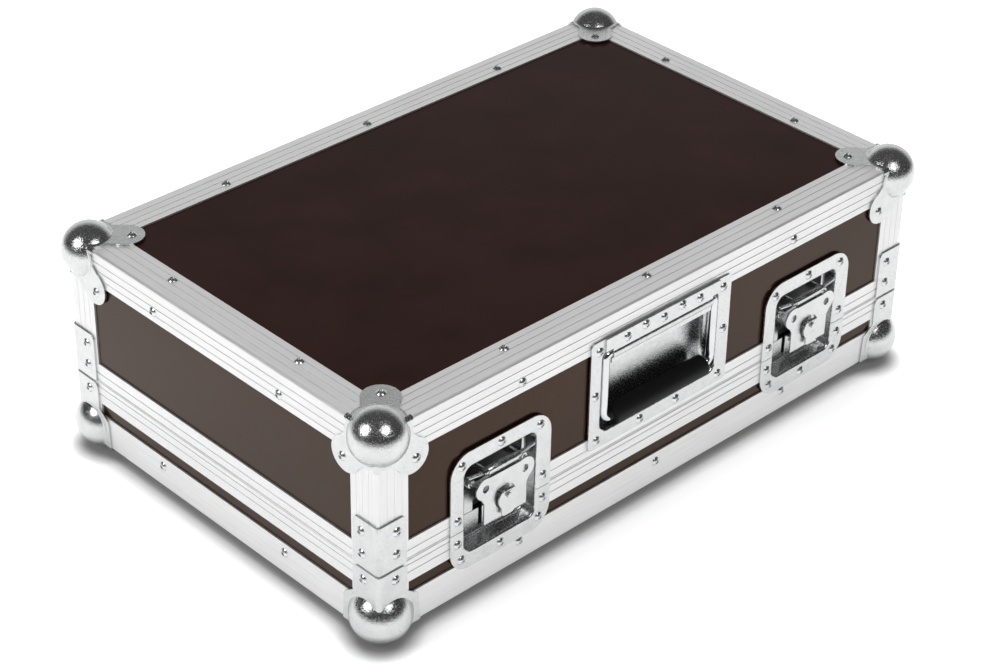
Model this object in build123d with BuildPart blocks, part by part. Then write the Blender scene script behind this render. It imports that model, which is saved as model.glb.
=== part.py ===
# Flight case for a small mixer: a shallow base tray and a deep hinged lid, 7 mm plywood panels in
# slotted aluminium edge rails, steel ball corners, two recessed turn latches and one recessed handle.
# Millimetres, +Z up, front towards -Y, origin on the floor below the middle of the case.

import os

from build123d import *

os.makedirs("parts", exist_ok=True)

# Driving sizes of the case, measured over the aluminium faces.
case_width = 602.0
case_depth = 376.0
case_height = 191.0
seam_height = 62.5
panel = 7.0
wall = 1.5

# Edge rails and closure profiles.
rail_leg = 30.0
rail_inner_leg = 22.0
rail_round = 2.0
groove_pitch = 7.2
groove_first = 9.2
groove_wide = 0.9
groove_deep = 0.4
post_groove_deep = 0.15
lid_lip = 18.3
base_lip = 21.0
lip_floor = 5.5
lip_inner = 13.5
lip_chamfer = 0.5
tongue_high = 3.0
tongue_wide = 2.4
tongue_play = 0.8
tongue_top_play = 0.4
mitre_gap = 0.2

# Steel ball corners and braces.
ball_radius = 25.0
ball_inset = 13.5
lid_ball_radius = 23.4
lid_ball_inset = 12.2
plate = 1.5
lobe_reach = 33.5
lobe_radius = 15.5
fold_long = 34.5
fold_wide = 2.5
press_round = 1.5
neck_half = 14.5
leg_wide = 27.5
leg_top_gap = 2.0
foot_side = 40.5
foot_shoulder = 38.5
foot_high = 35.5
leg_round = 5.0
brace_wide = 27.0
brace_high = 44.5
brace_round = 5.0
foot_flat = 0.3

# Rivets.
rivet_radius = 4.2
rivet_high = 2.2
rivet_hole = 1.7
rivet_edge = 21.0
rivet_gap = 0.4
rivet_spread_x = 155.0
rivet_spread_y = 77.0
latch_rivet_in = 4.0
latch_rivet_down = 10.5
latch_rivet_edge = 6.4
latch_rivet_seam = 11.0
lobe_rivet = 37.0
leg_rivet = (16.0, 11.0)
brace_rivets = ((17.5, 33.5), (17.0, 12.8))
handle_rivet_out = 70.7
handle_rivet_side = 73.5
handle_rivet_down = 9.7
handle_rivet_up = 7.4
foot_rivet_out = 21.0
foot_rivet_up = 5.4
strip_rivets = ((-41.5, 7.1), (0.0, 7.1), (41.5, 7.1), (-21.0, 4.6), (21.0, 4.6))
hinge_rivet_spread = 22.0

# Foam.
foam_wall = 15.0
foam_bed = 20.0
foam_top = 16.0
foam_seam_gap = 0.5
foam_joint = 0.2
leg_clearance = 0.3

# Latches, placed from the ends of the case and from the seam.
latch_inset = 124.0
latch_over_seam = 16.5
latch_flange_wide = 105.4
latch_flange_high = 109.2
latch_flange_round = 20.0
latch_open_wide = 75.0
latch_open_high = 79.3
latch_open_round = 8.0
latch_depth = 14.0
latch_floor_round = 3.0
pan_rim_round = 2.6
dish_sheet = 1.2
seam_gap = 0.6
window_wide = 21.6
window_deep = 16.5
window_upper_wide = 34.0
window_upper_high = 10.0

# Latch mechanism, heights from the middle of the dish, depths from the case face.
pivot_high = 27.5
pivot_depth = 1.0
pin_radius = 2.0
pin_play = 0.05
barrel_radius = 3.6
barrel_long = 31.0
ear_thick = 2.0
ear_round = 3.2
ear_play = 0.4
bracket_wide = 66.0
bracket_high = 34.0
bracket_low = 11.0
bracket_sheet = 1.5
post_radius = 3.8
post_spread = 27.5
post_high = 19.0
post_long = 9.0
post_round = 1.4
post_hole = 1.7
hook_sheet = 1.5
hook_gap = 0.3
hook_ear_wide = 60.8
hook_body_wide = 44.5
hook_top = 24.7
hook_neck = 2.0
hook_shoulder = 27.4
hook_bottom = -17.5
hook_hole = 10.8
ear_hole = 3.3
ear_hole_spread = 20.6
ear_hole_high = 15.8
hook_leg_wide = 18.0
hook_leg_reach = 13.0
carrier_wide = 36.0
carrier_sheet = 1.4
carrier_low = -12.0
turn_high = -0.5
spindle_radius = 4.4
spindle_play = 0.05
hub_radius = 6.0
hub_gap = 0.3
hub_retainer = 5.6
hub_thick = 1.2
wing_sheet = 1.4
wing_radius = 9.8
wing_tail = 15.3
wing_tail_wide = 13.0
wing_tail_round = 3.0
wing_pivot_high = 6.8
wing_barrel = 1.3
wing_pin = 0.6
wing_knuckle = 5.0
wing_play = 0.3
wing_stud = 2.4
wing_stud_high = 2.5
wing_stud_proud = 2.0
keeper_wide = 16.0
keeper_sheet = 1.3
keeper_tab = 9.3
keeper_gap = 0.5

# Handle, at the middle of the front, filling the height between the lid's closure and its top rail.
handle_x = -2.5
handle_wide = 160.0
handle_over_lip = 2.6
handle_under_rail = 1.5
handle_flange_low = 13.4
handle_flange_high = 11.5
handle_flange_round = 4.0
handle_open_wide = 133.0
handle_open_round = 8.0
handle_depth = 15.0
handle_floor_round = 6.0
strip_wide = 130.0
slot_half = 57.0
strip_lip = 14.5
bail_radius = 3.8
bail_spread = 62.0
bail_play = 0.1
bail_tube = 1.2
bail_top_bend = 4.0
bail_ends = 2.0
axle_down = 5.6
axle_depth = 1.0
grip_up = 9.3
grip_radius = 9.0
grip_long = 107.0
grip_round = 1.5
bail_bend = 8.0

# Rear hinges.
hinge_wide = 60.0
hinge_leaf = 1.5
hinge_leaf_high = 17.0
hinge_axis_out = 4.0
hinge_barrel = 3.3
hinge_pin_radius = 1.6
hinge_middle = 20.0
hinge_play = 0.3
hinge_notch = 0.5

# Worked out from the sizes above.
half_w = case_width / 2
half_d = case_depth / 2
latch_offset = half_w - latch_inset
hinge_offset = latch_offset
handle_open_low = seam_height + lid_lip + handle_over_lip
handle_open_high = case_height - rail_leg - handle_under_rail
handle_low = handle_open_low - handle_flange_low
handle_high = handle_open_high + handle_flange_high
strip_low = handle_open_high - strip_lip
axle_high = handle_open_high - axle_down
grip_high = handle_open_low + grip_up
floor_z = ball_radius - ball_inset - foot_flat
top_z = floor_z + case_height
seam_z = floor_z + seam_height
block = wall + panel + wall
front_y = -half_d
rear_y = half_d
steel_y = front_y - plate
latch_z = seam_z + latch_over_seam
sides = (-1, 1)
side_name = {-1: "left", 1: "right"}
depth_name = {-1: "front", 1: "rear"}


def save(part, name):
    part.label = name
    export_step(part, f"parts/{name}.step")


def slab(x, y, z, mode=Mode.ADD):
    """A box between two values on each axis, inside the open part."""
    with Locations(((x[0] + x[1]) / 2, (y[0] + y[1]) / 2, (z[0] + z[1]) / 2)):
        Box(x[1] - x[0], y[1] - y[0], z[1] - z[0], mode=mode)


def patch(u, v, mode=Mode.ADD):
    """A rectangle between two values on each axis, inside the open sketch."""
    with Locations(((u[0] + u[1]) / 2, (v[0] + v[1]) / 2)):
        Rectangle(u[1] - u[0], v[1] - v[0], mode=mode)


def front_plane(y):
    """A plane facing the front, with x to the right and z up."""
    return Plane(origin=(0, y, 0), x_dir=(1, 0, 0), z_dir=(0, -1, 0))


def trim(corner, own, others):
    """Cuts the open part at one case corner so that its run meets its neighbours in a mitre."""
    for other in others:
        normal = (own - other).normalized()
        start = corner + normal * (mitre_gap / 2)
        split(bisect_by=Plane(origin=start, z_dir=normal), keep=Keep.TOP)


def rail_sketch(groove):
    """The rail's section, with its outer corner at the origin and its legs along +u and +v."""
    for far in ((rail_leg, wall), (wall, rail_leg), (block, block)):
        patch((0, far[0]), (0, far[1]))
    patch((block - wall, rail_inner_leg), (block - wall, block))
    patch((block - wall, block), (block - wall, rail_inner_leg))
    patch((wall, block - wall), (wall, block - wall), Mode.SUBTRACT)
    fillet(vertices().sort_by_distance((0, 0))[0], rail_round)
    if groove:
        for number in range(3):
            middle = groove_first + number * groove_pitch
            span = (middle - groove_wide / 2, middle + groove_wide / 2)
            patch(span, (0, groove), Mode.SUBTRACT)
            patch((0, groove), span, Mode.SUBTRACT)


def run_rail(start, u, v, length, groove):
    """One rail with its outer corner line from start along u x v; groove is the depth of its grooves."""
    with BuildPart() as rail:
        with BuildSketch(Plane(origin=start, x_dir=u, z_dir=Vector(u).cross(Vector(v)))):
            rail_sketch(groove)
        extrude(amount=length)
    return rail.part


def edge_rail(where, level, name):
    """A horizontal rail of the base or the lid on the front, rear, left or right."""
    up = Vector(0, 0, 1) if level == "base" else Vector(0, 0, -1)
    z = floor_z if level == "base" else top_z
    across = where in ("left", "right")
    hand = 1 if where in ("front", "left") else -1
    inward = Vector(hand, 0, 0) if across else Vector(0, hand, 0)
    run = Vector(0, 1, 0) if across else Vector(1, 0, 0)
    half_run = half_d if across else half_w
    face = -hand * (half_w if across else half_d)
    middle = Vector(face, 0, z) if across else Vector(0, face, z)
    u, v = (inward, up) if inward.cross(up).dot(run) > 0 else (up, inward)
    with BuildPart() as rail:
        add(run_rail(middle - run * half_run, u, v, 2 * half_run, groove_deep if level == "lid" else 0))
        for end in sides:
            trim(middle + run * (end * half_run), run * -end, (inward, up))
    save(rail.part, name)


def post(x, y, level):
    """One short upright, mitred into the edge rails at its outer end."""
    up = Vector(0, 0, 1) if level == "base" else Vector(0, 0, -1)
    z = floor_z if level == "base" else top_z
    far = seam_z - base_lip if level == "base" else seam_z + lid_lip
    corner = Vector(x * half_w, y * half_d, z)
    u, v = Vector(-x, 0, 0), Vector(0, -y, 0)
    if u.cross(v).dot(up) < 0:
        u, v = v, u
    with BuildPart() as upright:
        add(run_rail(corner, u, v, abs(far - z), post_groove_deep if level == "lid" else 0))
        trim(corner, up, (u, v))
    return upright.part


def corner_posts(level):
    """The four uprights of the base or the lid, as separate solids."""
    with BuildPart() as posts:
        add([post(x, y, level) for x in sides for y in sides])
    save(posts.part, f"{level}_corner_posts")


def closure_sketch(level):
    """Half of the closure profile: u goes in from the case face, v away from the seam."""
    lip = lid_lip if level == "lid" else base_lip
    patch((0, wall), (0, lip))
    patch((0, block), (0, lip_floor))
    patch((block - wall, block), (0, lip_inner))
    middle = block / 2
    if level == "lid":
        patch((middle - tongue_wide / 2, middle + tongue_wide / 2), (-tongue_high, 0))
    else:
        half = tongue_wide / 2 + tongue_play
        patch((middle - half, middle + half), (0, tongue_high + tongue_top_play), Mode.SUBTRACT)
    corner = vertices().filter_by_position(Axis.Y, -0.01, 0.01).sort_by(Axis.X)[0]
    chamfer(corner, lip_chamfer)
    first = lip - groove_first - groove_pitch
    for number in range(2):
        line = first + number * groove_pitch
        patch((0, groove_deep), (line - groove_wide / 2, line + groove_wide / 2), Mode.SUBTRACT)


def closure_bar(level, inward):
    """One mitred run of the closure profile; the front run is cut away at the latches."""
    v = Vector(0, 0, 1) if level == "lid" else Vector(0, 0, -1)
    half_run = half_d if inward.X else half_w
    run = inward.cross(v)
    face = inward * -(half_w if inward.X else half_d) + Vector(0, 0, seam_z)
    with BuildPart() as bar:
        with BuildSketch(Plane(origin=face - run * half_run, x_dir=inward, z_dir=run)):
            closure_sketch(level)
        extrude(amount=2 * half_run)
        for end in sides:
            trim(face + run * (end * half_run), run * -end, (inward,))
        if inward.Y > 0:
            dish_cuts(seam_z - base_lip - 1, seam_z + base_lip + 1)
    return bar.part


def rounded_case():
    """The whole case as one block with its four upright corners rounded as the rails are."""
    with BuildPart() as whole:
        slab((-half_w, half_w), (-half_d, half_d), (floor_z, top_z))
        fillet(edges().filter_by(Axis.Z), rail_round)
    return whole.part


def closure(level):
    """The closure profile round the case, as separate mitred bars."""
    with BuildPart() as ring:
        add([closure_bar(level, Vector(*inward)) for inward in ((0, 1, 0), (0, -1, 0), (1, 0, 0), (-1, 0, 0))])
        add(rounded_case(), mode=Mode.INTERSECT)
    save(ring.part, f"{level}_closure")


def dish_cuts(low, high):
    """Cuts the latch dishes' pans out of the open part between two heights."""
    cut = latch_open_wide / 2 + dish_sheet + leg_clearance
    for side in sides:
        x = side * latch_offset
        slab((x - cut, x + cut), (front_y - 1, front_y + block + 1), (low, high), Mode.SUBTRACT)


latch_pan_low = latch_z - latch_open_high / 2 - dish_sheet - leg_clearance
latch_pan_high = latch_z + latch_open_high / 2 + dish_sheet + leg_clearance
handle_pan_half = handle_open_wide / 2 + dish_sheet + leg_clearance
handle_pan_low = floor_z + handle_open_low - dish_sheet - leg_clearance
handle_pan_high = floor_z + handle_open_high + dish_sheet + leg_clearance


def panels():
    """Plywood panels, each slid into the slots of the rails round it."""
    out, skin = block, (wall, wall + panel)
    levels = {"base": (floor_z + out, seam_z - lip_floor), "lid": (seam_z + lip_floor, top_z - out)}
    for level, height in levels.items():
        for y in sides:
            with BuildPart() as board:
                depth = sorted((y * (half_d - skin[0]), y * (half_d - skin[1])))
                slab((-half_w + out, half_w - out), depth, height)
                if y < 0 and level == "base":
                    dish_cuts(latch_pan_low, height[1] + 1)
                if y < 0 and level == "lid":
                    dish_cuts(height[0] - 1, latch_pan_high)
                    slab((handle_x - handle_pan_half, handle_x + handle_pan_half), (front_y - 1, front_y + out),
                         (handle_pan_low, handle_pan_high), Mode.SUBTRACT)
            save(board.part, f"{level}_{depth_name[y]}_panel")
        for x in sides:
            with BuildPart() as board:
                slab(sorted((x * (half_w - skin[0]), x * (half_w - skin[1]))),
                     (-half_d + out, half_d - out), height)
            save(board.part, f"{level}_{side_name[x]}_panel")
    for name, z in (("base_bottom_panel", (floor_z + skin[0], floor_z + skin[1])),
                    ("lid_top_panel", (top_z - skin[1], top_z - skin[0]))):
        with BuildPart() as board:
            slab((-half_w + out, half_w - out), (-half_d + out, half_d - out), z)
        save(board.part, name)


def lobe_sketch(radius, inset):
    """A ball corner's lobed plate on one face, with the case corner at the origin: a rim round the ball,
    a round lobe on a straight neck, and a narrow fold along each of the two edges."""
    side = neck_half / 2 ** 0.5
    Polygon((side, -side), (lobe_reach + side, lobe_reach - side), (lobe_reach - side, lobe_reach + side),
            (-side, side), align=None)
    with Locations((lobe_reach, lobe_reach)):
        Circle(lobe_radius)
    with Locations((inset, inset)):
        Circle((radius ** 2 - (inset + plate) ** 2) ** 0.5 + 2 * press_round)
    patch((-plate, fold_long), (-plate, fold_wide))
    patch((-plate, fold_wide), (-plate, fold_long))


def foot_sketch():
    """A base ball corner's plate on one upright face: a long leg up the corner and a short foot."""
    leg_high = seam_height - leg_top_gap
    Polygon((-plate, -plate), (foot_side, -plate), (foot_shoulder, leg_wide), (leg_wide, foot_high),
            (leg_wide, leg_high), (-plate, leg_high), align=None)
    fillet(vertices().sort_by_distance((leg_wide, leg_high))[0], leg_round)


def rounded_block(corner, inward, grow, radius):
    """A block that fills a case corner and is larger than it by a margin, with its three near edges rounded."""
    start = corner - inward * grow
    with BuildPart() as filled:
        with Locations(start + inward * (case_height / 2)):
            Box(case_height, case_height, case_height)
        fillet(edges().sort_by_distance(start)[:3], radius)
    return filled.part


def ball_corner(x, y, up, name):
    """A pressed steel corner: a hollow ball outside the case with plates folded round three faces."""
    corner = Vector(x * half_w, y * half_d, top_z if up < 0 else floor_z)
    along_x, along_y, along_z = Vector(-x, 0, 0), Vector(0, -y, 0), Vector(0, 0, up)
    inward = along_x + along_y + along_z
    radius, inset = (lid_ball_radius, lid_ball_inset) if up < 0 else (ball_radius, ball_inset)
    with BuildPart() as ball:
        for u, v in ((along_x, along_z), (along_y, along_z), (along_x, along_y)):
            with BuildSketch(Plane(origin=corner, x_dir=u, z_dir=u.cross(v))):
                if up > 0 and v == along_z:
                    foot_sketch()
                else:
                    lobe_sketch(radius, inset)
            extrude(amount=plate, both=True)
        add(rounded_block(corner, inward, plate, rail_round + plate), mode=Mode.INTERSECT)
        with Locations(corner + inward * inset):
            Sphere(radius)
            Sphere(radius - plate, mode=Mode.SUBTRACT)
        add(rounded_block(corner, inward, 0, rail_round), mode=Mode.SUBTRACT)
        dome = faces().filter_by(GeomType.SPHERE).sort_by(SortBy.AREA)[-1]
        fillet(dome.edges(), press_round)
        if up > 0:
            slab((-case_width, case_width), (-case_width, case_width), (-floor_z, 0), Mode.SUBTRACT)
    save(ball.part, name)


def brace(x, y):
    """One bent plate on a lid corner, just above the seam."""
    low, high = seam_z + lip_chamfer, seam_z + brace_high
    with BuildPart() as bent:
        slab(sorted((x * (half_w + plate), x * (half_w - brace_wide))),
             sorted((y * (half_d + plate), y * (half_d - brace_wide))), (low, high))
        slab(sorted((x * half_w, 0)), sorted((y * half_d, 0)), (low - 1, high + 1), Mode.SUBTRACT)
        folds = edges().filter_by(Axis.Z).sort_by_distance((x * half_w, y * half_d, low))
        fillet(folds[0], rail_round)
        folds = edges().filter_by(Axis.Z).sort_by_distance((x * case_width, y * case_width, low))
        fillet(folds[0], rail_round + plate)
        for direction in (Axis.X, Axis.Y):
            fillet(edges().filter_by(direction).group_by(Axis.Z)[-1].sort_by(SortBy.LENGTH)[0], brace_round)
    return bent.part


def braces():
    """The four corner braces, as separate solids."""
    with BuildPart() as plates:
        add([brace(x, y) for x in sides for y in sides])
    save(plates.part, "lid_corner_braces")


def pan(x, z, size, flange, rounds, depth):
    """A pressed dish in the front: a flange on the case face and a pan behind it, with its rim rolled in."""
    with BuildPart() as dish:
        with BuildSketch(front_plane(front_y)):
            with Locations((x, flange[2])):
                RectangleRounded(flange[0], flange[1], rounds[0])
        extrude(amount=plate)
        with BuildSketch(front_plane(steel_y)):
            with Locations((x, z)):
                RectangleRounded(size[0] + 2 * dish_sheet, size[1] + 2 * dish_sheet, rounds[1] + dish_sheet)
        extrude(amount=-depth - dish_sheet)
        with BuildSketch(front_plane(steel_y)):
            with Locations((x, z)):
                RectangleRounded(size[0], size[1], rounds[1])
        extrude(amount=-depth, mode=Mode.SUBTRACT)
        fillet(faces().sort_by(Axis.Y)[0].inner_wires()[0].edges(), pan_rim_round)
        back = steel_y + depth
        bottom = faces().filter_by(Axis.Y).filter_by_position(Axis.Y, back - wall, back + dish_sheet / 2)[0]
        fillet(bottom.edges(), rounds[2])
    return dish.part


pan_back = steel_y + latch_depth


def latch_dish(x, name):
    """The latch's dish, cut in two at the seam: the upper half on the lid, the lower on the base."""
    size = (latch_open_wide, latch_open_high)
    flange = (latch_flange_wide, latch_flange_high, latch_z)
    rounds = (latch_flange_round, latch_open_round, latch_floor_round)
    whole = pan(x, latch_z, size, flange, rounds, latch_depth)
    far = latch_flange_high
    for half in ("upper", "lower"):
        with BuildPart() as dish:
            add(whole)
            x_span = (x - far, x + far)
            y_span = (steel_y - 1, front_y + far)
            if half == "upper":
                slab(x_span, y_span, (latch_z - far, seam_z + seam_gap / 2), Mode.SUBTRACT)
                wide, low, high = window_upper_wide, seam_z, seam_z + window_upper_high
            else:
                slab(x_span, y_span, (seam_z - seam_gap / 2, latch_z + far), Mode.SUBTRACT)
                wide, low, high = window_wide, seam_z - window_deep, seam_z
            slab((x - wide / 2, x + wide / 2), (pan_back - 1, pan_back + far), (low, high), Mode.SUBTRACT)
        save(dish.part, f"{name}_{half}_dish")


pivot_y = front_y - pivot_depth
pivot_z = latch_z + pivot_high
carrier_front = pivot_y - barrel_radius
hook_back = carrier_front - hook_gap
hook_front = hook_back - hook_sheet
hub_back = hook_front - hub_gap
hub_front = hub_back - hub_thick
wing_back = hub_front - wing_play
wing_front = wing_back - wing_sheet
wing_pivot_y = (wing_back + wing_front) / 2
wing_pivot_z = latch_z + wing_pivot_high
turn_z = latch_z + turn_high


def bar_x(x, y, z, radius, long, mode=Mode.ADD):
    """A round bar along X about a middle point, inside the open part."""
    with Locations(Location((x, y, z), (0, 90, 0))):
        Cylinder(radius, long, mode=mode)


def disc_y(x, z, radius, y_front, y_back, mode=Mode.ADD):
    """A round disc facing the front, between two depths, inside the open part."""
    with Locations(Location((x, (y_front + y_back) / 2, z), (90, 0, 0))):
        Cylinder(radius, y_back - y_front, mode=mode)


ear_at = barrel_long / 2 + ear_play + ear_thick / 2


def latch_brackets():
    """Each dish's bracket, with two ears for the hinge pin and two spring posts."""
    back = pan_back - bracket_sheet
    with BuildPart() as brackets:
        for hand in sides:
            x = hand * latch_offset
            half = bracket_wide / 2
            slab((x - half, x + half), (back, pan_back), (latch_z + bracket_low, latch_z + bracket_high))
            for side in sides:
                middle = x + side * ear_at
                slab((middle - ear_thick / 2, middle + ear_thick / 2), (pivot_y, back),
                     (pivot_z - ear_round, pivot_z + ear_round))
                bar_x(middle, pivot_y, pivot_z, ear_round, ear_thick)
                disc_y(x + side * post_spread, latch_z + post_high, post_radius, back - post_long, back)
            bar_x(x, pivot_y, pivot_z, pin_radius + pin_play, bracket_wide, Mode.SUBTRACT)
        circles = edges().filter_by(GeomType.CIRCLE)
        rounds = circles.filter_by(lambda edge: abs(edge.radius - post_radius) < pin_play)
        fillet(rounds.group_by(Axis.Y)[0], post_round)
        for hand in sides:
            for side in sides:
                disc_y(hand * latch_offset + side * post_spread, latch_z + post_high, post_hole,
                       back - post_long - 1, back - post_long + post_round, Mode.SUBTRACT)
    save(brackets.part, "latch_brackets")


def latch_hinge_pins():
    """The headed pins that the latch carriers swing on."""
    reach = 2 * (ear_at + ear_thick / 2 + ear_play)
    with BuildPart() as pins:
        for hand in sides:
            x = hand * latch_offset
            bar_x(x, pivot_y, pivot_z, pin_radius, reach)
            for side in sides:
                bar_x(x + side * (reach + ear_thick / 2) / 2, pivot_y, pivot_z, ear_round - ear_play,
                      ear_thick / 2)
    save(pins.part, "latch_hinge_pins")


def latch_carrier(x, name):
    """The plate that swings on the hinge pin and carries the turning spindle."""
    with BuildPart() as carrier:
        slab((x - carrier_wide / 2, x + carrier_wide / 2), (carrier_front, carrier_front + carrier_sheet),
             (latch_z + carrier_low, pivot_z - barrel_radius))
        slab((x - barrel_long / 2, x + barrel_long / 2), (carrier_front, carrier_front + carrier_sheet),
             (pivot_z - barrel_radius - 1, pivot_z))
        bar_x(x, pivot_y, pivot_z, barrel_radius, barrel_long)
        bar_x(x, pivot_y, pivot_z, pin_radius + pin_play, barrel_long + 1, Mode.SUBTRACT)
        disc_y(x, turn_z, spindle_radius + spindle_play, carrier_front - 1,
               carrier_front + carrier_sheet + 1, Mode.SUBTRACT)
    save(carrier.part, f"{name}_carrier")


def latch_hook(x, name):
    """The two-eared hook plate, with a round hole for the spindle and a leg that hooks the keeper."""
    with BuildPart() as hook:
        with BuildSketch(front_plane(hook_back)):
            ear_radius = hook_ear_wide / 2 - ear_hole_spread
            with Locations((x, latch_z)):
                half = hook_body_wide / 2
                Polygon((-half, hook_bottom), (half, hook_bottom), (half, hook_neck),
                        (hook_shoulder, ear_hole_high - ear_radius / 2),
                        (-hook_shoulder, ear_hole_high - ear_radius / 2),
                        (-half, hook_neck), align=None)
            patch((x - ear_hole_spread, x + ear_hole_spread),
                  (latch_z + ear_hole_high - ear_radius / 2, latch_z + hook_top))
            with Locations((x - ear_hole_spread, latch_z + ear_hole_high),
                           (x + ear_hole_spread, latch_z + ear_hole_high)):
                Circle(ear_radius)
                Circle(ear_hole, mode=Mode.SUBTRACT)
            with Locations((x, turn_z)):
                Circle(hook_hole, mode=Mode.SUBTRACT)
        extrude(amount=hook_sheet)
        low = latch_z + hook_bottom
        slab((x - hook_leg_wide / 2, x + hook_leg_wide / 2), (hook_front, hook_back + hook_leg_reach),
             (low, low + hook_sheet))
    save(hook.part, f"{name}_hook")


def latch_keepers():
    """The bent keeper in each lower dish, whose tab lies over the hook's leg when the latch is shut."""
    tab_low = latch_z + hook_bottom + hook_sheet + keeper_gap
    with BuildPart() as keepers:
        for side in sides:
            x = side * latch_offset
            span = (x - keeper_wide / 2, x + keeper_wide / 2)
            front = pan_back - keeper_sheet
            foot = latch_z - latch_open_high / 2 + latch_floor_round
            slab(span, (front, pan_back), (foot, tab_low + keeper_sheet))
            slab(span, (front - keeper_tab, front), (tab_low, tab_low + keeper_sheet))
    save(keepers.part, "latch_keepers")


def latch_cam(x, name):
    """The turning spindle, with its hub in front of the hook plate and the knuckle for the wing."""
    with BuildPart() as cam:
        disc_y(x, turn_z, spindle_radius, hub_back, carrier_front + carrier_sheet + hub_gap)
        disc_y(x, turn_z, hub_retainer, carrier_front + carrier_sheet + hub_gap,
               carrier_front + carrier_sheet + hub_gap + hub_thick)
        disc_y(x, turn_z, hub_radius, hub_front, hub_back)
        slab((x - wing_knuckle / 2, x + wing_knuckle / 2), (hub_front, hub_back), (turn_z, wing_pivot_z))
        bar_x(x, wing_pivot_y, wing_pivot_z, wing_barrel, wing_knuckle)
        bar_x(x, wing_pivot_y, wing_pivot_z, wing_pin + pin_play, wing_knuckle + 1, Mode.SUBTRACT)
    save(cam.part, f"{name}_cam")


def latch_wing(x, name):
    """The folding wing that turns the cam: a round plate with a tail, hung from its own pin."""
    notch = wing_knuckle / 2 + wing_play
    with BuildPart() as wing:
        with BuildSketch(front_plane(wing_back)):
            with Locations((x, turn_z)):
                Circle(wing_radius)
            with Locations((x, turn_z - wing_tail / 2)):
                Rectangle(wing_tail_wide, wing_tail)
            tail = vertices().group_by(Axis.Y)[0]
            fillet(tail, wing_tail_round)
        extrude(amount=wing_sheet)
        slab((x - wing_radius, x + wing_radius), (wing_front - 1, wing_back + 1),
             (wing_pivot_z, wing_pivot_z + wing_radius), Mode.SUBTRACT)
        bar_x(x, wing_pivot_y, wing_pivot_z, wing_barrel, 2 * wing_knuckle)
        slab((x - notch, x + notch), (wing_front - 2, wing_back + 2),
             (wing_pivot_z - wing_barrel - wing_play, wing_pivot_z + wing_barrel + 1), Mode.SUBTRACT)
        bar_x(x, wing_pivot_y, wing_pivot_z, wing_pin, wing_knuckle + 2)
        disc_y(x, latch_z + wing_stud_high, wing_stud, wing_front - wing_stud_proud, wing_front)
    save(wing.part, f"{name}_wing")


axle_y = front_y + axle_depth
axle_z = floor_z + axle_high
grip_z = floor_z + grip_high
tube_radius = bail_radius + bail_play + bail_tube


def handle_strip():
    """The strip over the dish's top edge, rolled into the tube that the bail turns in, with a lip below."""
    high = floor_z + handle_open_high
    edge, half = steel_y - plate, strip_wide / 2
    with BuildPart() as strip:
        slab((handle_x - half, handle_x + half), (edge, steel_y), (high, floor_z + handle_high))
        tongue = (handle_x - slot_half, handle_x + slot_half)
        slab(tongue, (edge, steel_y), (axle_z, high))
        slab(tongue, (steel_y, steel_y + plate), (floor_z + strip_low, axle_z))
        bar_x(handle_x, axle_y, axle_z, tube_radius, 2 * slot_half)
        bar_x(handle_x, axle_y, axle_z, bail_radius + bail_play, 2 * slot_half + 1, Mode.SUBTRACT)
    save(strip.part, "handle_axle_strip")


def handle():
    """The recessed handle: dish, strip with the axle tube, bent bail and rubber grip."""
    low, high = floor_z + handle_open_low, floor_z + handle_open_high
    flange = (handle_wide, handle_high - handle_low, floor_z + (handle_high + handle_low) / 2)
    rounds = (handle_flange_round, handle_open_round, handle_floor_round)
    dish = pan(handle_x, (low + high) / 2, (handle_open_wide, high - low), flange, rounds, handle_depth)
    save(dish, "handle_dish")
    handle_strip()
    left, right = handle_x - bail_spread, handle_x + bail_spread
    with BuildPart() as bail:
        with BuildLine(front_plane(axle_y)) as path:
            FilletPolyline((handle_x + bail_ends / 2, grip_z), (right, grip_z), (right, axle_z), (left, axle_z),
                           (left, grip_z), (handle_x - bail_ends / 2, grip_z),
                           radius=[bail_bend, bail_top_bend, bail_top_bend, bail_bend])
        with BuildSketch(Plane(origin=path.line @ 0, z_dir=path.line % 0)):
            Circle(bail_radius)
        sweep()
    save(bail.part, "handle_bail")
    with BuildPart() as grip:
        bar_x(handle_x, axle_y, grip_z, grip_radius, grip_long)
        fillet(edges().filter_by(GeomType.CIRCLE), grip_round)
        bar_x(handle_x, axle_y, grip_z, bail_radius + pin_play, grip_long + 1, Mode.SUBTRACT)
    save(grip.part, "handle_grip")


hinge_y = rear_y + hinge_axis_out


def hinge_leaf_part(x, up):
    """One leaf of a rear hinge; up is 1 for the lid's leaf and -1 for the base's."""
    half, middle = hinge_wide / 2, hinge_middle / 2
    other = (-middle, middle) if up < 0 else None
    with BuildPart() as leaf:
        slab((x - half, x + half), (rear_y, rear_y + hinge_leaf),
             sorted((seam_z + up * hinge_play, seam_z + up * hinge_leaf_high)))
        if other:
            bar_x(x, hinge_y, seam_z, hinge_barrel + hinge_notch, hinge_middle + 2 * hinge_play, Mode.SUBTRACT)
        for side in sides:
            reach = half - middle - hinge_play
            at = x + side * (half - reach / 2)
            if other:
                bar_x(at, hinge_y, seam_z, hinge_barrel, reach)
            else:
                bar_x(at, hinge_y, seam_z, hinge_barrel + hinge_notch, reach + 2 * hinge_play, Mode.SUBTRACT)
        if not other:
            bar_x(x, hinge_y, seam_z, hinge_barrel, hinge_middle)
        bar_x(x, hinge_y, seam_z, hinge_pin_radius + pin_play, hinge_wide + 1, Mode.SUBTRACT)
    return leaf.part


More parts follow.
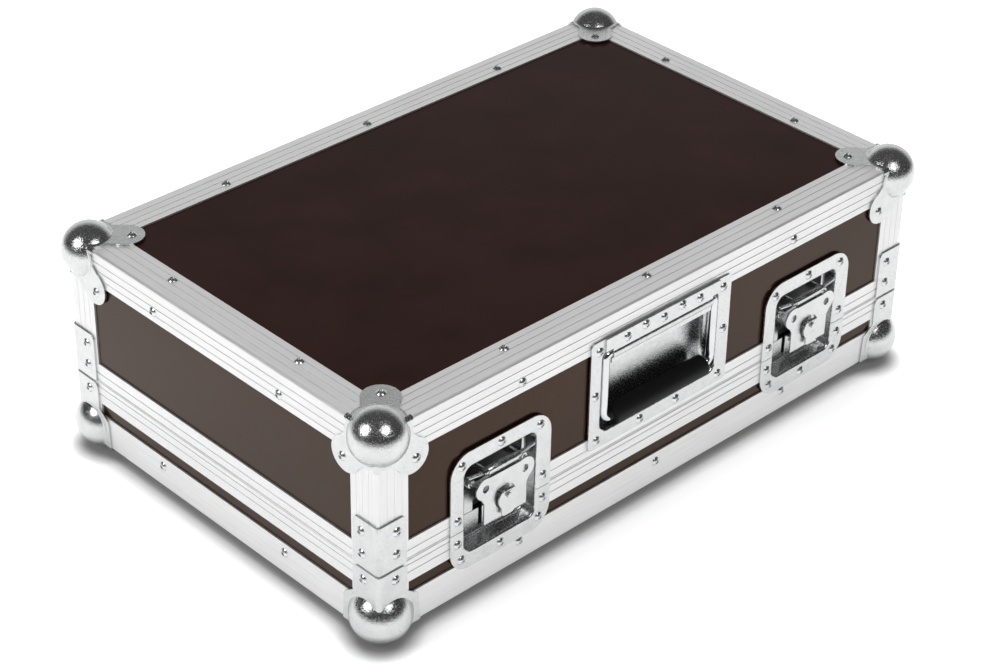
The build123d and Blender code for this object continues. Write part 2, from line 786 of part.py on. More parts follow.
def hinges():
    """Two rear hinges, each of a base leaf, a lid leaf and a pin."""
    places = [side * hinge_offset for side in sides]
    for up, name in ((-1, "base_hinge_leaves"), (1, "lid_hinge_leaves")):
        with BuildPart() as leaves:
            add([hinge_leaf_part(x, up) for x in places])
        save(leaves.part, name)
    with BuildPart() as pins:
        for x in places:
            bar_x(x, hinge_y, seam_z, hinge_pin_radius, hinge_wide)
    save(pins.part, "hinge_pins")


def foam():
    """Foam on the floor, under the top and round the walls, with pockets behind the dishes."""
    shelf, deep = block, block + foam_wall
    skin = wall + panel
    bed_top = floor_z + skin + foam_bed
    pad_low = top_z - skin - foam_top
    pads = {"base_foam_bed": (floor_z + skin, bed_top), "lid_foam_pad": (pad_low, top_z - skin)}
    for name, height in pads.items():
        with BuildPart() as pad:
            slab((deep + foam_joint - half_w, half_w - deep - foam_joint),
                 (deep + foam_joint - half_d, half_d - deep - foam_joint), height)
        save(pad.part, name)
    spans = {"base": (floor_z + shelf, seam_z - foam_seam_gap), "lid": (seam_z + foam_seam_gap, top_z - shelf)}
    for level, height in spans.items():
        with BuildPart() as liners:
            for y in sides:
                slab((deep + foam_joint - half_w, half_w - deep - foam_joint),
                     sorted((y * (half_d - shelf), y * (half_d - deep))), height)
            latch_behind = pan_back + dish_sheet + leg_clearance
            half = latch_open_wide / 2 + dish_sheet + leg_clearance
            for side in sides:
                slab((side * latch_offset - half, side * latch_offset + half), (front_y, latch_behind),
                     (latch_pan_low, latch_pan_high), Mode.SUBTRACT)
            handle_behind = steel_y + handle_depth + dish_sheet + leg_clearance
            slab((handle_x - handle_pan_half, handle_x + handle_pan_half), (front_y, handle_behind),
                 (handle_pan_low, handle_pan_high), Mode.SUBTRACT)
            for x in sides:
                slab(sorted((x * (half_w - shelf), x * (half_w - deep))),
                     (shelf - half_d, half_d - shelf), height)
        save(liners.part, f"{level}_foam_liners")


def rivet_head():
    """A domed blind rivet head with the dark hole of its mandrel, standing on the XY plane."""
    dome = (rivet_radius ** 2 + rivet_high ** 2) / (2 * rivet_high)
    with BuildPart() as head:
        with Locations((0, 0, rivet_high - dome)):
            Sphere(dome)
        slab((-2 * dome, 2 * dome), (-2 * dome, 2 * dome), (-2 * dome, 0), Mode.SUBTRACT)
        with Locations((0, 0, rivet_high)):
            Cylinder(rivet_hole, rivet_high, mode=Mode.SUBTRACT)
    return head.part


def seat(x, y, z, outward):
    """Where a rivet head sits: its foot on the point and its dome facing outward."""
    return Plane(origin=(x, y, z), z_dir=outward).location


front, rear, up_way, down_way = (0, -1, 0), (0, 1, 0), (0, 0, 1), (0, 0, -1)


def latch_rivets(half):
    """Rivets of the dish flanges, on the lid or on the base."""
    side_x = (latch_flange_wide + latch_open_wide) / 4
    corner_x = side_x - latch_rivet_in
    corner_z = latch_flange_high / 2 - latch_rivet_down
    middle_z = latch_flange_high / 2 - latch_rivet_edge
    up = 1 if half == "lid" else -1
    seam_local = seam_z - latch_z
    spots = [(0, up * middle_z), (-corner_x, up * corner_z), (corner_x, up * corner_z),
             (-side_x, seam_local + up * latch_rivet_seam), (side_x, seam_local + up * latch_rivet_seam)]
    return [seat(side * latch_offset + x, steel_y, latch_z + z, front) for side in sides for x, z in spots]


def rail_rivets(level):
    """Rivets along the edge rails of the base or the lid, on the upright and the flat faces."""
    lid = level == "lid"
    z_side = top_z - rivet_edge if lid else floor_z + rivet_edge
    z_flat, way = (top_z, up_way) if lid else (floor_z, down_way)
    places = []
    for x in (-rivet_spread_x, 0, rivet_spread_x):
        under_dish = latch_z - latch_flange_high / 2 - rivet_radius - rivet_gap
        z_front = z_side if lid or x == 0 else min(z_side, under_dish)
        if x or not lid:
            places.append(seat(x, front_y, z_front, front))
        places.append(seat(x, rear_y, z_side, rear))
        for y in sides:
            places.append(seat(x, y * (half_d - rivet_edge), z_flat, way))
    for x in sides:
        for y in (-rivet_spread_y, rivet_spread_y):
            places.append(seat(x * half_w, y, z_side, (x, 0, 0)))
            places.append(seat(x * (half_w - rivet_edge), y, z_flat, way))
    return places


def corner_rivets(level):
    """Rivets through the lobes and legs of the ball corners and through the lid's braces."""
    lid = level == "lid"
    z_flat, way = (top_z + plate, up_way) if lid else (floor_z - plate, down_way)
    lobe = lobe_rivet
    if lid:
        spots = [(lobe, top_z - lobe)] + [(inset, seam_z + above) for inset, above in brace_rivets]
    else:
        spots = [(leg_rivet[0], seam_z - leg_rivet[1])]
    places = []
    for x in sides:
        for y in sides:
            places.append(seat(x * (half_w - lobe), y * (half_d - lobe), z_flat, way))
            for inset, z in spots:
                places.append(seat(x * (half_w - inset), y * (half_d + plate), z, (0, y, 0)))
                places.append(seat(x * (half_w + plate), y * (half_d - inset), z, (x, 0, 0)))
    return places


def handle_rivets():
    """Rivets of the handle's flange and of its axle strip."""
    spots = [(handle_rivet_out, handle_high - handle_rivet_down), (handle_rivet_out, handle_low + handle_rivet_up),
             (handle_rivet_side, (handle_high + handle_low) / 2), (foot_rivet_out, handle_low + foot_rivet_up)]
    places = [seat(handle_x + side * x, steel_y, floor_z + z, front) for side in sides for x, z in spots]
    strip = [(handle_x + x, handle_high - down) for x, down in strip_rivets]
    return places + [seat(x, steel_y - plate, floor_z + z, front) for x, z in strip]


def hinge_rivets(up):
    """Three rivets through each hinge leaf."""
    z = seam_z + up * (hinge_leaf_high + hinge_barrel) / 2
    across = (-hinge_rivet_spread, 0, hinge_rivet_spread)
    return [seat(side * hinge_offset + x, rear_y + hinge_leaf, z, rear) for side in sides for x in across]


def rivets():
    """All rivet heads of the base and of the lid, each a separate solid."""
    head = rivet_head()
    for level, extra in (("base", hinge_rivets(-1)), ("lid", hinge_rivets(1) + handle_rivets())):
        places = latch_rivets(level) + rail_rivets(level) + corner_rivets(level) + extra
        with BuildPart() as heads:
            add([head.moved(place) for place in places])
        save(heads.part, f"{level}_rivets")


for level_name in ("base", "lid"):
    for place in ("front", "rear", "left", "right"):
        edge_rail(place, level_name, f"{level_name}_{place}_rail")
    corner_posts(level_name)
    closure(level_name)
    for corner_x in sides:
        for corner_y in sides:
            ball_corner(corner_x, corner_y, 1 if level_name == "base" else -1,
                        f"{level_name}_ball_{depth_name[corner_y]}_{side_name[corner_x]}")
panels()
braces()
handle()
hinges()
foam()
rivets()
latch_keepers()
latch_brackets()
latch_hinge_pins()
for hand in sides:
    latch_x = hand * latch_offset
    latch_name = f"latch_{side_name[hand]}"
    latch_dish(latch_x, latch_name)
    latch_carrier(latch_x, latch_name)
    latch_hook(latch_x, latch_name)
    latch_cam(latch_x, latch_name)
    latch_wing(latch_x, latch_name)
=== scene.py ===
# %% [markdown]
# # A mixer flight case
# The imported CAD model is loaded first. It gives the frame: where each rail, panel, ball corner and
# latch piece lies, in metres, and which body each rides on. Everything below dresses that frame, so
# nothing here moves or resizes the case.

# %% Load the frame
import math

import bmesh
import bpy
from mathutils import Matrix, Vector, noise


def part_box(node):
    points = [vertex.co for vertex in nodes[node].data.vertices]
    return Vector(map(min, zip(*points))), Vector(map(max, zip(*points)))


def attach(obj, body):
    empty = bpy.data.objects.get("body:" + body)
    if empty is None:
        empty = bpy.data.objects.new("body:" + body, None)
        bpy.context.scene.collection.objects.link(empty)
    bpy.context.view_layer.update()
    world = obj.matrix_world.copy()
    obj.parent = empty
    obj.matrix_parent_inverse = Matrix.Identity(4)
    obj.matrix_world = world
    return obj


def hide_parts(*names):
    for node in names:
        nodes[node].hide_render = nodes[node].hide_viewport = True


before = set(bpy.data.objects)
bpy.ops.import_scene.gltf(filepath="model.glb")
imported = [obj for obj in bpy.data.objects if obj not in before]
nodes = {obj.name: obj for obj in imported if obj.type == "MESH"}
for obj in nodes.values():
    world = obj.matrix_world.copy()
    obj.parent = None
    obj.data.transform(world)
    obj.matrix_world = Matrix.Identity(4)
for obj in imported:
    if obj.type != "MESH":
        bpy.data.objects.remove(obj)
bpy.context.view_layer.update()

# %% [markdown]
# ## The camera
# The picture is 1000 x 666. The lens and the place were solved from the straight edges of the case, so
# the camera looks down at its left front corner from about 1.3 m to the left, front and above. A
# camera in Blender looks along its own -Z with +Y up, so the three axes go in as matrix columns. The
# sensor is a full frame, 36 mm wide. The Standard view shows a white of strength 1 as pure white.

# %% Place the camera
lens_mm = 93.46
sensor_mm = 36
camera_place = Vector((-1.2919, -1.3345, 1.2811))
right_axis = Vector((0.7246, -0.6890, 0.0152)).normalized()
forward_axis = Vector((0.5827, 0.6008, -0.5473)).normalized()
up_axis = right_axis.cross(forward_axis).normalized()
camera_data = bpy.data.cameras.new("photo_camera")
camera_data.sensor_width = sensor_mm
camera_data.lens = lens_mm
camera = bpy.data.objects.new("photo_camera", camera_data)
columns = Matrix((right_axis, up_axis, -forward_axis)).transposed()
camera.matrix_world = Matrix.Translation(camera_place) @ columns.to_4x4()
bpy.context.scene.collection.objects.link(camera)
bpy.context.scene.camera = camera
bpy.context.scene.view_settings.view_transform = "Standard"
print("camera distance to the case in metres:", round(camera_place.length, 2))

# %% [markdown]
# ## Colour and node helpers
# Colours are written as sRGB hex, as a designer picks them, and Blender's shaders work in linear
# light, so one function turns one into the other. One more adds any shader node with its settings and
# its links, which keeps each material below to a few lines.

# %% Helpers for materials


def linear(code):
    """An sRGB hex colour as the linear RGBA that a shader takes."""
    parts = [int(code[i:i + 2], 16) / 255 for i in (1, 3, 5)]
    return [p / 12.92 if p <= 0.04045 else ((p + 0.055) / 1.055) ** 2.4 for p in parts] + [1.0]


def put(tree, kind, links=(), **settings):
    """Adds one node. Settings are its own properties, or a socket's value where the name is a socket;
    links are (input, other node, output)."""
    node = tree.nodes.new(kind)
    for name, value in settings.items():
        if hasattr(node, name):
            setattr(node, name, value)
        else:
            node.inputs[name.replace("_", " ")].default_value = value
    for socket, other, output in links:
        tree.links.new(other.outputs[output], node.inputs[socket])
    return node


def new_material(name):
    """An empty node material with its output, and a Principled shader linked to it."""
    material = bpy.data.materials.new(name)
    material.use_nodes = True
    tree = material.node_tree
    tree.nodes.clear()
    shader = put(tree, "ShaderNodeBsdfPrincipled")
    put(tree, "ShaderNodeOutputMaterial", links=[("Surface", shader, "BSDF")])
    return material, tree, shader


def paint(node_names, material):
    """Gives CAD nodes a material."""
    for name in node_names:
        nodes[name].data.materials.clear()
        nodes[name].data.materials.append(material)


# %% [markdown]
# ## Anodised aluminium
# The edge rails, the corner uprights and the closure round the seam are extruded aluminium with a
# satin anodised skin. The die leaves faint lines along the bar, so the roughness and a very light
# bump are noise that is stretched along the bar's length. The three directions need three materials.
# Real die lines are some tenths of a millimetre apart, too fine to show here, so they are drawn about
# a millimetre apart. Anodising scatters the light, so the roughness is near 0.45 rather than a polished
# metal's 0.1, and the clear skin over the metal makes it a little less metallic. Broad patches, a hand
# wide, are where the bar was handled.

# %% Anodised aluminium, one for each direction of a bar
die_line_mm = 1.1
line_stretch = 60
handling_mm = 70


def anodised_aluminium(axis):
    """Satin metal with lines along one axis."""
    material, tree, shader = new_material(f"anodised_aluminium_along_{'xyz'[axis]}")
    across = 1000 / die_line_mm
    scale = [across, across, across]
    scale[axis] = across / line_stretch
    place = put(tree, "ShaderNodeTexCoord")
    stretch = put(tree, "ShaderNodeMapping", links=[("Vector", place, "Object")], Scale=scale)
    lines = put(tree, "ShaderNodeTexNoise", links=[("Vector", stretch, "Vector")], Scale=1.0, Detail=3.0)
    broad = put(tree, "ShaderNodeTexNoise", links=[("Vector", place, "Object")], Scale=1000 / handling_mm,
                Detail=4.0)
    tone = put(tree, "ShaderNodeMapRange", links=[("Value", lines, "Fac")], To_Min=0.38, To_Max=0.50)
    cloud = put(tree, "ShaderNodeMapRange", links=[("Value", broad, "Fac")], To_Min=-0.07, To_Max=0.09)
    rough = put(tree, "ShaderNodeMath", links=[(0, tone, "Result"), (1, cloud, "Result")], operation="ADD")
    colour = put(tree, "ShaderNodeMix", data_type="RGBA", links=[("Factor", lines, "Fac")])
    colour.inputs[6].default_value = linear("#D5D5D5")
    colour.inputs[7].default_value = linear("#F1F1F1")
    bump = put(tree, "ShaderNodeBump", links=[("Height", lines, "Fac")], Strength=0.16, Distance=0.0002)
    tree.links.new(colour.outputs[2], shader.inputs["Base Color"])
    tree.links.new(rough.outputs["Value"], shader.inputs["Roughness"])
    tree.links.new(bump.outputs["Normal"], shader.inputs["Normal"])
    shader.inputs["Metallic"].default_value = 0.75
    return material


aluminium = [anodised_aluminium(axis) for axis in range(3)]
for level in ("base", "lid"):
    paint([f"{level}_front_rail", f"{level}_rear_rail", f"{level}_closure"], aluminium[0])
    paint([f"{level}_left_rail", f"{level}_right_rail"], aluminium[1])
    paint([f"{level}_corner_posts"], aluminium[2])

# %% [markdown]
# ## Film-faced plywood
# The panels are birch plywood pressed with a dark brown phenolic film. The film is smooth and satin,
# with a plastic's IOR of 1.5, and shows cloudy patches a few centimetres wide where the resin took the
# pressure differently. Its gloss is below a polished plastic's, and brown resin tints it, so the walls
# mirror the white table as a warm brown sheen. The press leaves a very slight unevenness, about a
# millimetre wide. The top is the same film with darker tones, painted shade that makes it darker than
# the walls, and almost no gloss, so it mirrors hardly anything.

# %% Phenolic film on the panels
cloud_mm = 55
grain_mm = 1.1


def phenolic_film(name, dark, light, gloss):
    """Brown resin film between two tones. The gloss is 0.5 for a polished plastic."""
    material, tree, shader = new_material(name)
    place = put(tree, "ShaderNodeTexCoord")
    cloud = put(tree, "ShaderNodeTexNoise", links=[("Vector", place, "Object")], Scale=1000 / cloud_mm,
                Detail=5.0)
    grain = put(tree, "ShaderNodeTexNoise", links=[("Vector", place, "Object")], Scale=1000 / grain_mm,
                Detail=2.0)
    colour = put(tree, "ShaderNodeMix", data_type="RGBA", links=[("Factor", cloud, "Fac")])
    colour.inputs[6].default_value = linear(dark)
    colour.inputs[7].default_value = linear(light)
    rough = put(tree, "ShaderNodeMapRange", links=[("Value", cloud, "Fac")], To_Min=0.12, To_Max=0.22)
    bump = put(tree, "ShaderNodeBump", links=[("Height", grain, "Fac")], Strength=0.12, Distance=0.0001)
    tree.links.new(colour.outputs[2], shader.inputs["Base Color"])
    tree.links.new(rough.outputs["Result"], shader.inputs["Roughness"])
    tree.links.new(bump.outputs["Normal"], shader.inputs["Normal"])
    shader.inputs["Specular IOR Level"].default_value = gloss
    shader.inputs["Specular Tint"].default_value = linear("#FFC080")
    return material


film = phenolic_film("phenolic_film_brown", "#23140F", "#2C1913", 0.245)
# The top's copy of the film has darker tones, painted shade, and almost no gloss.
top_film_painted_shade = phenolic_film("phenolic_film_top_painted_shade", "#180F0D", "#291917", 0.03)
paint([name for name in nodes if name.endswith("_panel")], film)
paint(["lid_top_panel"], top_film_painted_shade)

# %% [markdown]
# ## Plated steel
# The ball corners, braces, dishes and latch plates are pressed steel with bright zinc: a metal that is
# smoother than the aluminium, with slight ripples from the press. Zinc sets in crystals a little under
# a millimetre wide, the spangle. Each is a small dent, and some are duller than the rest, so a ball
# mirrors the room with a fine speckle. Smears are where plating and oil dried unevenly. The bail and
# the pins are polished and chromed, so they are smoother still, without spangle. The rivets' heads are
# a little duller.

# %% Zinc and chrome
spangle_mm = 0.9
smear_mm = 2.4
dull_start = 0.58
dull_full = 0.66
dull_rise = 0.3
crystal_dent = 0.00017
press_dent = 0.0006


def plated_steel(name, low, high, dark, light, ripple_mm, strength, spangle):
    """Bright metal between two roughnesses and two tones, with a press's ripple and a zinc's spangle."""
    material, tree, shader = new_material(name)
    place = put(tree, "ShaderNodeTexCoord")
    ripple = put(tree, "ShaderNodeTexNoise", links=[("Vector", place, "Object")], Scale=1000 / ripple_mm,
                 Detail=3.0)
    speck = put(tree, "ShaderNodeTexNoise", links=[("Vector", place, "Object")], Scale=1000 / smear_mm,
                Detail=5.0)
    grain = put(tree, "ShaderNodeTexNoise", links=[("Vector", place, "Object")], Scale=1000 / spangle_mm,
                Detail=2.0, Roughness=0.6)
    rough = put(tree, "ShaderNodeMapRange", links=[("Value", speck, "Fac")], To_Min=low, To_Max=high)
    colour = put(tree, "ShaderNodeMix", data_type="RGBA", links=[("Factor", ripple, "Fac")])
    colour.inputs[6].default_value = linear(dark)
    colour.inputs[7].default_value = linear(light)
    dull = put(tree, "ShaderNodeMapRange", links=[("Value", grain, "Fac")], From_Min=dull_start,
               From_Max=dull_full, To_Min=0.0, To_Max=dull_rise * spangle)
    finish = put(tree, "ShaderNodeMath", links=[(0, rough, "Result"), (1, dull, "Result")], operation="ADD")
    crystals = put(tree, "ShaderNodeBump", links=[("Height", grain, "Fac")], Strength=spangle,
                   Distance=crystal_dent)
    bump = put(tree, "ShaderNodeBump", links=[("Height", ripple, "Fac"), ("Normal", crystals, "Normal")],
               Strength=strength, Distance=press_dent)
    tree.links.new(colour.outputs[2], shader.inputs["Base Color"])
    tree.links.new(finish.outputs["Value"], shader.inputs["Roughness"])
    tree.links.new(bump.outputs["Normal"], shader.inputs["Normal"])
    shader.inputs["Metallic"].default_value = 0.96
    return material


zinc = plated_steel("zinc_plated_steel", 0.12, 0.19, "#BCBDBE", "#D0D1D1", 9.0, 0.12, 1.0)
chrome = plated_steel("chromed_steel", 0.06, 0.11, "#C3C4C6", "#D2D3D4", 14.0, 0.05, 0.0)
rivet_zinc = plated_steel("zinc_plated_rivets", 0.22, 0.30, "#C4C5C7", "#DBDCDD", 4.0, 0.10, 0.2)
# A dark copy of the zinc, painted shade for the brackets' back plates.
painted_shade_steel = plated_steel("zinc_painted_dark_as_shade", 0.30, 0.42, "#262627", "#3C3C3E", 6.0, 0.15, 0.3)
chromed = ["handle_bail", "hinge_pins", "latch_hinge_pins"]
not_steel = ("rail", "posts", "closure", "panel", "foam", "grip")
paint([name for name in nodes if not any(key in name for key in not_steel)], zinc)
paint(chromed, chrome)
paint(["base_rivets", "lid_rivets"], rivet_zinc)

# %% The brackets' back plates are the same zinc in dark tones as painted shade, their eyelet posts bright
back_plate = 0.0020
bracket = nodes["latch_brackets"]
bracket.data.materials.append(painted_shade_steel)
plate_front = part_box("latch_brackets")[1][1] - back_plate
# Faces at the back of the bracket get the dark copy: painted shade.
for polygon in bracket.data.polygons:
    if polygon.center.y > plate_front:
        polygon.material_index = 1
print("bracket faces made dark:", sum(p.material_index for p in bracket.data.polygons))

# %% [markdown]
# ## Worn edges
# Real pressed and sawn edges are never knife sharp: a narrow bevel catches a thin line of light. The
# faces of a CAD mesh aren't joined at their borders, so they are welded first, and then a bevel a
# quarter of a millimetre wide goes on every sharp edge of the latch plates, the keepers, the braces
# and the handle's strip. Both are modifiers, so the CAD mesh itself stays as it was.

# %% Weld and bevel
edge_width = 0.00025
weld_reach = 0.000002
sharp_turn = math.radians(35)


def soften_edges(node_name):
    """A weld and a narrow bevel on one CAD node."""
    piece = nodes[node_name]
    weld = piece.modifiers.new("joined faces", "WELD")
    weld.merge_threshold = weld_reach
    bevel = piece.modifiers.new("worn edges", "BEVEL")
    bevel.width = edge_width
    bevel.segments = 2
    bevel.limit_method = "ANGLE"
    bevel.angle_limit = sharp_turn
    bevel.harden_normals = True


pressed_kinds = ("hook", "wing", "carrier", "brace", "keeper", "strip")
pressed = [name for name in nodes if any(key in name for key in pressed_kinds)]
for name in pressed:
    soften_edges(name)
print("nodes with worn edges:", len(pressed))

# %% [markdown]
# ## Rubber and foam
# The grip is a black rubber tube with a dull skin that hands have worn unevenly. The foam in the case
# is open-celled and dark, so it is very rough. Its pores are drawn a little over a millimetre wide,
# coarser than real ones, so that they show.

# %% Make the rubber and the foam
wear_mm = 11
pore_mm = 1.4


def black_rubber():
    """A dull black skin."""
    material, tree, shader = new_material("black_rubber_tube")
    place = put(tree, "ShaderNodeTexCoord")
    wear = put(tree, "ShaderNodeTexNoise", links=[("Vector", place, "Object")], Scale=1000 / wear_mm,
               Detail=4.0)
    rough = put(tree, "ShaderNodeMapRange", links=[("Value", wear, "Fac")], To_Min=0.50, To_Max=0.65)
    tree.links.new(rough.outputs["Result"], shader.inputs["Roughness"])
    shader.inputs["Base Color"].default_value = linear("#0F0F0F")
    shader.inputs["Specular IOR Level"].default_value = 0.2
    return material


def open_cell_foam():
    """Pores as dents in a dark grey skin, each painted darker at its middle as painted shade."""
    material, tree, shader = new_material("open_cell_foam")
    place = put(tree, "ShaderNodeTexCoord")
    cells = put(tree, "ShaderNodeTexVoronoi", links=[("Vector", place, "Object")],
                Scale=1000 / pore_mm)
    bump = put(tree, "ShaderNodeBump", links=[("Height", cells, "Distance")], Strength=0.6, Distance=0.0008)
    # The colour is darkest at each pore's middle, where the dent is deepest: painted shade.
    colour = put(tree, "ShaderNodeMix", data_type="RGBA", links=[("Factor", cells, "Distance")])
    colour.inputs[6].default_value = linear("#1B1B1C")
    colour.inputs[7].default_value = linear("#333335")
    tree.links.new(colour.outputs[2], shader.inputs["Base Color"])
    tree.links.new(bump.outputs["Normal"], shader.inputs["Normal"])
    shader.inputs["Roughness"].default_value = 0.95
    return material


paint(["handle_grip"], black_rubber())
foam_material = open_cell_foam()

# %% [markdown]
# ## Foam boards
# The lining is cut from foam board with a hot wire, so its faces are nearly flat and its edges are soft.
# The CAD model only has plain slabs. In a copy of each node, the triangles of each face are joined,
# the edges are rounded and the faces are cut into a grid. Then the skin is drawn in by slow waves, as
# foam has that was squeezed. It goes in and never out, so a board stays inside its slab.

# %% Make each foam board
edge_mm = 3.0
grid_mm = 12.0
wave_mm = 45.0
wave_depth = 0.0012
same_point = 0.00001
same_plane = math.radians(2)
cut_reach = 0.0001


def foam_board(node_name, body):
    """A soft copy of the slabs of one CAD node, as one piece."""
    source = nodes[node_name]
    mesh = bmesh.new()
    mesh.from_mesh(source.data)
    bmesh.ops.remove_doubles(mesh, verts=mesh.verts, dist=same_point)
    bmesh.ops.dissolve_limit(mesh, angle_limit=same_plane, verts=mesh.verts, edges=mesh.edges)
    bmesh.ops.bevel(mesh, geom=mesh.edges[:], offset=edge_mm / 1000, segments=3, profile=0.5,
                    affect="EDGES")
    low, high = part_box(node_name)
    for axis in range(3):
        cuts = int((high[axis] - low[axis]) * 1000 / grid_mm)
        for number in range(1, cuts):
            place = Vector((0, 0, 0))
            place[axis] = low[axis] + (high[axis] - low[axis]) * number / cuts
            way = Vector((0, 0, 0))
            way[axis] = 1
            everything = mesh.verts[:] + mesh.edges[:] + mesh.faces[:]
            bmesh.ops.bisect_plane(mesh, geom=everything, plane_co=place, plane_no=way, dist=cut_reach)
    mesh.normal_update()
    for vertex in mesh.verts:
        wave = noise.noise(vertex.co * (1000 / wave_mm))
        vertex.co -= vertex.normal * (wave_depth * (0.5 + 0.5 * wave))
    for face in mesh.faces:
        face.smooth = True
    soft = bpy.data.meshes.new(node_name + "_soft")
    mesh.to_mesh(soft)
    mesh.free()
    soft.materials.append(foam_material)
    board = bpy.data.objects.new(node_name + "_soft", soft)
    bpy.context.scene.collection.objects.link(board)
    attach(board, body)
    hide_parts(node_name)
    print(node_name, "has", len(soft.polygons), "faces")


for body, board_name in (("base", "base_foam_liners"), ("base", "base_foam_bed"),
                         ("lid", "lid_foam_liners"), ("lid", "lid_foam_pad")):
    foam_board(board_name, body)

# %% [markdown]
# ## Torsion springs in the latches
# Each latch swings on a pin through two ears, and a coiled spring on either side of it presses the
# latch flat. The wire is swept along a helix, ring by ring, as a closed tube of faces. It starts
# outside the ear and rises a little on its way out to the bracket's eyelet post. All sizes are metres.

# %% Wind the springs
pin_low, pin_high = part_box("latch_hinge_pins")
pin_y, pin_z = [(pin_low[axis] + pin_high[axis]) / 2 for axis in (1, 2)]
dish_low, dish_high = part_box("latch_right_upper_dish")
latch_x = (dish_low[0] + dish_high[0]) / 2
wire_radius = 0.00045
coil_radius = 0.0013
coil_pitch = 0.00105
coil_start = 0.0199
coil_end = 0.0342
coil_rise = 0.17
wire_sides = 8
steps_per_turn = 20


def spring(middle, hand):
    """A coil along X, on one side of a latch's middle."""
    mesh = bmesh.new()
    turns = (coil_end - coil_start) / coil_pitch
    rings = []
    for step in range(int(turns * steps_per_turn) + 1):
        angle = 2 * math.pi * step / steps_per_turn
        along = coil_start + coil_pitch * step / steps_per_turn
        out = Vector((0, math.cos(angle), math.sin(angle)))
        heart = middle + Vector((hand * along, 0, coil_rise * (along - coil_start))) + out * coil_radius
        ring = []
        for side in range(wire_sides):
            turn = 2 * math.pi * side / wire_sides
            round_wire = out * math.cos(turn) + Vector((math.sin(turn), 0, 0))
            ring.append(mesh.verts.new(heart + round_wire * wire_radius))
        rings.append(ring)
    for first, second in zip(rings, rings[1:]):
        for side in range(wire_sides):
            after = (side + 1) % wire_sides
            mesh.faces.new((first[side], first[after], second[after], second[side]))
    mesh.faces.new(rings[0])
    mesh.faces.new(rings[-1])
    bmesh.ops.recalc_face_normals(mesh, faces=mesh.faces)
    return mesh


sides = (("left", -1), ("right", 1))
for latch_name, latch_hand in sides:
    for side_name, side_hand in sides:
        name = f"{latch_name}_latch_spring_{side_name}"
        shape = spring(Vector((latch_hand * latch_x, pin_y, pin_z)), side_hand)
        mesh = bpy.data.meshes.new(name)
        shape.to_mesh(mesh)
        shape.free()
        for polygon in mesh.polygons:
            polygon.use_smooth = True
        mesh.materials.append(chrome)
        coil = bpy.data.objects.new(name, mesh)
        bpy.context.scene.collection.objects.link(coil)
        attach(coil, "lid")
print("springs of", round((coil_end - coil_start) / coil_pitch, 1), "turns")

# %% [markdown]
# ## Floor, world and lamps
# The photograph was taken on a white table with a white screen that rises behind the case, in a dark
# room with two soft lamps. Metal is mostly a mirror, so these are what give it its look: faces that
# look down mirror the white table, and the rounded tops of the balls mirror the dark room with two
# bright spots. The paper is pale and matt. For a camera ray, and for a mirror ray that meets it near
# the case, it also glows a little, so that it comes out white and still takes the case's shadow. Close
# under the case, ambient occlusion darkens the paper's colour and its glow: a painted shadow added to
# the lamps' real one. The lamps only light the table near the case, so further out the glow takes over
# and keeps the paper white. Sizes are metres.

# %% The floor
table_reach = 1.3
table_fade = 0.5
# How far the painted shadow under the case reaches, and how dark it gets.
painted_shadow_reach = 0.020
painted_shadow_dark = 0.22
shut_in = 0.45
open_air = 0.92
near_glow = 0.38
far_glow = 1.0
glow_start = 0.6
glow_end = 2.4


def studio_floor():
    """White paper that glows for the camera, with a painted shadow where the case touches it."""
    material, tree, shader = new_material("white_paper_floor")
    shader.inputs["Roughness"].default_value = 0.9
    shader.inputs["Specular IOR Level"].default_value = 0.0
    output = tree.nodes["Material Output"]
    # Ambient occlusion darkens the paper's colour and the strength of its glow near the case: a painted
    # shadow.
    under = put(tree, "ShaderNodeAmbientOcclusion", samples=16, Distance=painted_shadow_reach)
    painted_shadow = put(tree, "ShaderNodeMapRange", links=[("Value", under, "AO")], From_Min=shut_in,
                  From_Max=open_air, To_Min=painted_shadow_dark, To_Max=1.0)
    paper = put(tree, "ShaderNodeMix", data_type="RGBA", links=[("Factor", painted_shadow, "Result")])
    paper.inputs[6].default_value = (0, 0, 0, 1)
    paper.inputs[7].default_value = linear("#F2F2F2")
    tree.links.new(paper.outputs[2], shader.inputs["Base Color"])
    path = put(tree, "ShaderNodeLightPath")
    place = put(tree, "ShaderNodeNewGeometry")
    away = put(tree, "ShaderNodeVectorMath", links=[(0, place, "Position")], operation="LENGTH")
    near = put(tree, "ShaderNodeMapRange", links=[("Value", away, "Value")],
               From_Min=table_reach + table_fade, From_Max=table_reach)
    mirrored = put(tree, "ShaderNodeMath", links=[(0, path, "Is Glossy Ray"), (1, near, "Result")],
                   operation="MULTIPLY")
    seen = put(tree, "ShaderNodeMath", links=[(0, path, "Is Camera Ray"), (1, mirrored, "Value")],
               operation="MAXIMUM")
    glow_with_painted_shadow = put(tree, "ShaderNodeMath", links=[(0, seen, "Value"), (1, painted_shadow, "Result")],
                   operation="MULTIPLY")
    level = put(tree, "ShaderNodeMapRange", links=[("Value", away, "Value")], From_Min=glow_start,
                From_Max=glow_end, To_Min=near_glow, To_Max=far_glow)
    glow = put(tree, "ShaderNodeEmission",
               links=[("Strength", glow_with_painted_shadow, "Value"), ("Color", level, "Result")])
    both = put(tree, "ShaderNodeAddShader", links=[(0, shader, "BSDF"), (1, glow, "Emission")])
    tree.links.new(both.outputs["Shader"], output.inputs["Surface"])
    return material


floor_half = 9
floor_mesh = bpy.data.meshes.new("studio_floor")
corners = [(x * floor_half, y * floor_half, 0) for x, y in ((-1, -1), (1, -1), (1, 1), (-1, 1))]
floor_mesh.from_pydata(corners, [], [(0, 1, 2, 3)])
floor = bpy.data.objects.new("studio_floor", floor_mesh)
floor_mesh.materials.append(studio_floor())
bpy.context.scene.collection.objects.link(floor)

# %% The room, as mirrored in the metal: a white screen behind the case, and dark elsewhere
white_way = (0.590, 0.633, -0.500)
white_screen = 1.0
room_dark = 0.05
screen_edge = 0.24
screen_full = 0.64


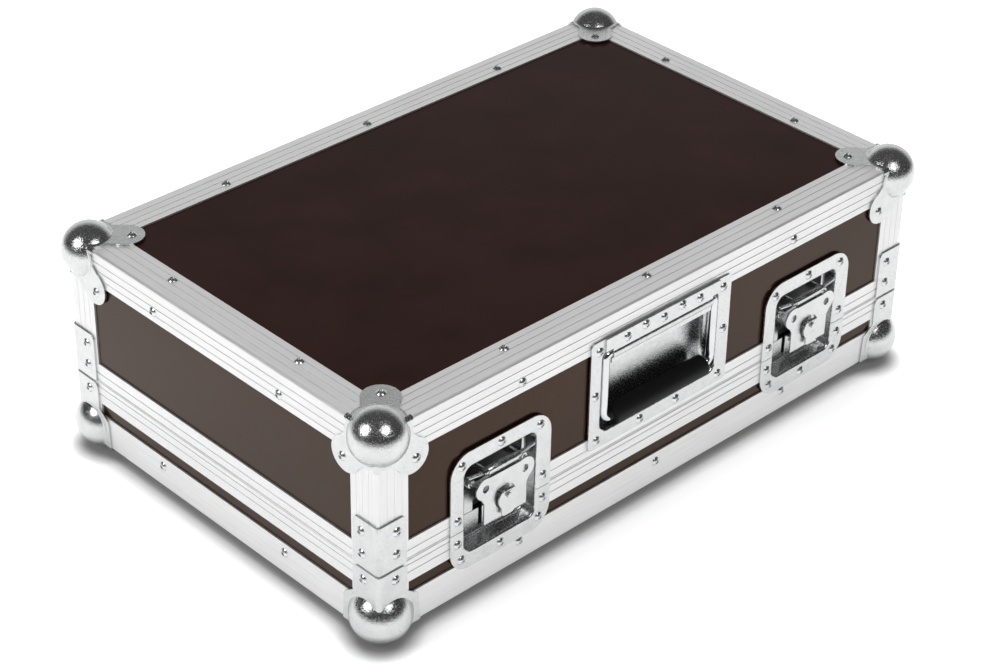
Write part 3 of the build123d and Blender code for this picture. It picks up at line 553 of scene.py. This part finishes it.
def studio_world():
    """White for the camera. In a mirror, the screen's direction is white and fades into the dark room."""
    world = bpy.data.worlds.new("studio_world")
    bpy.context.scene.world = world
    world.use_nodes = True
    tree = world.node_tree
    tree.nodes.clear()
    path = put(tree, "ShaderNodeLightPath")
    way = put(tree, "ShaderNodeTexCoord")
    behind = put(tree, "ShaderNodeVectorMath", links=[(0, way, "Generated")], operation="DOT_PRODUCT")
    behind.inputs[1].default_value = white_way
    shade = put(tree, "ShaderNodeMapRange", links=[("Value", behind, "Value")],
                interpolation_type="SMOOTHSTEP", From_Min=screen_edge, From_Max=screen_full,
                To_Min=room_dark, To_Max=white_screen)
    room = put(tree, "ShaderNodeBackground", links=[("Color", shade, "Result")], Strength=1.0)
    white = put(tree, "ShaderNodeBackground", Color=(1, 1, 1, 1), Strength=1.0)
    pick = put(tree, "ShaderNodeMixShader", links=[("Fac", path, "Is Camera Ray"), (1, room, "Background"),
                                                   (2, white, "Background")])
    put(tree, "ShaderNodeOutputWorld", links=[("Surface", pick, "Shader")])


# %% [markdown]
# The two softboxes are the bright spots on the balls, and their directions put the spots where the
# photograph has them. A wide lamp overhead stands for the light that the room's ceiling scatters. The
# metal in the photograph mirrors no such lamp, so it is hidden from mirror rays.

# %% Three soft lamps
case_middle = Vector((0, 0, 0.1))
lamp_distance = 2.4
softbox_size = 0.85
ceiling_size = 2.6


def softbox(name, way, size, watts, mirrored=True):
    """A round area lamp in a direction from the case's middle, facing it."""
    lamp = bpy.data.lights.new(name, "AREA")
    lamp.shape = "DISK"
    lamp.energy = watts
    lamp.size = size
    holder = bpy.data.objects.new(name, lamp)
    holder.location = case_middle + Vector(way).normalized() * lamp_distance
    holder.rotation_euler = Vector(way).to_track_quat("Z", "Y").to_euler()
    holder.visible_glossy = mirrored
    bpy.context.scene.collection.objects.link(holder)


studio_world()
softbox("left_softbox", (-1.96, 0.36, 1.41), softbox_size, 15.5)
softbox("front_softbox", (-0.297, -1.665, 1.711), softbox_size, 11.5)
softbox("overhead_softbox", (0.10, 0.12, 1.0), ceiling_size, 70, mirrored=False)
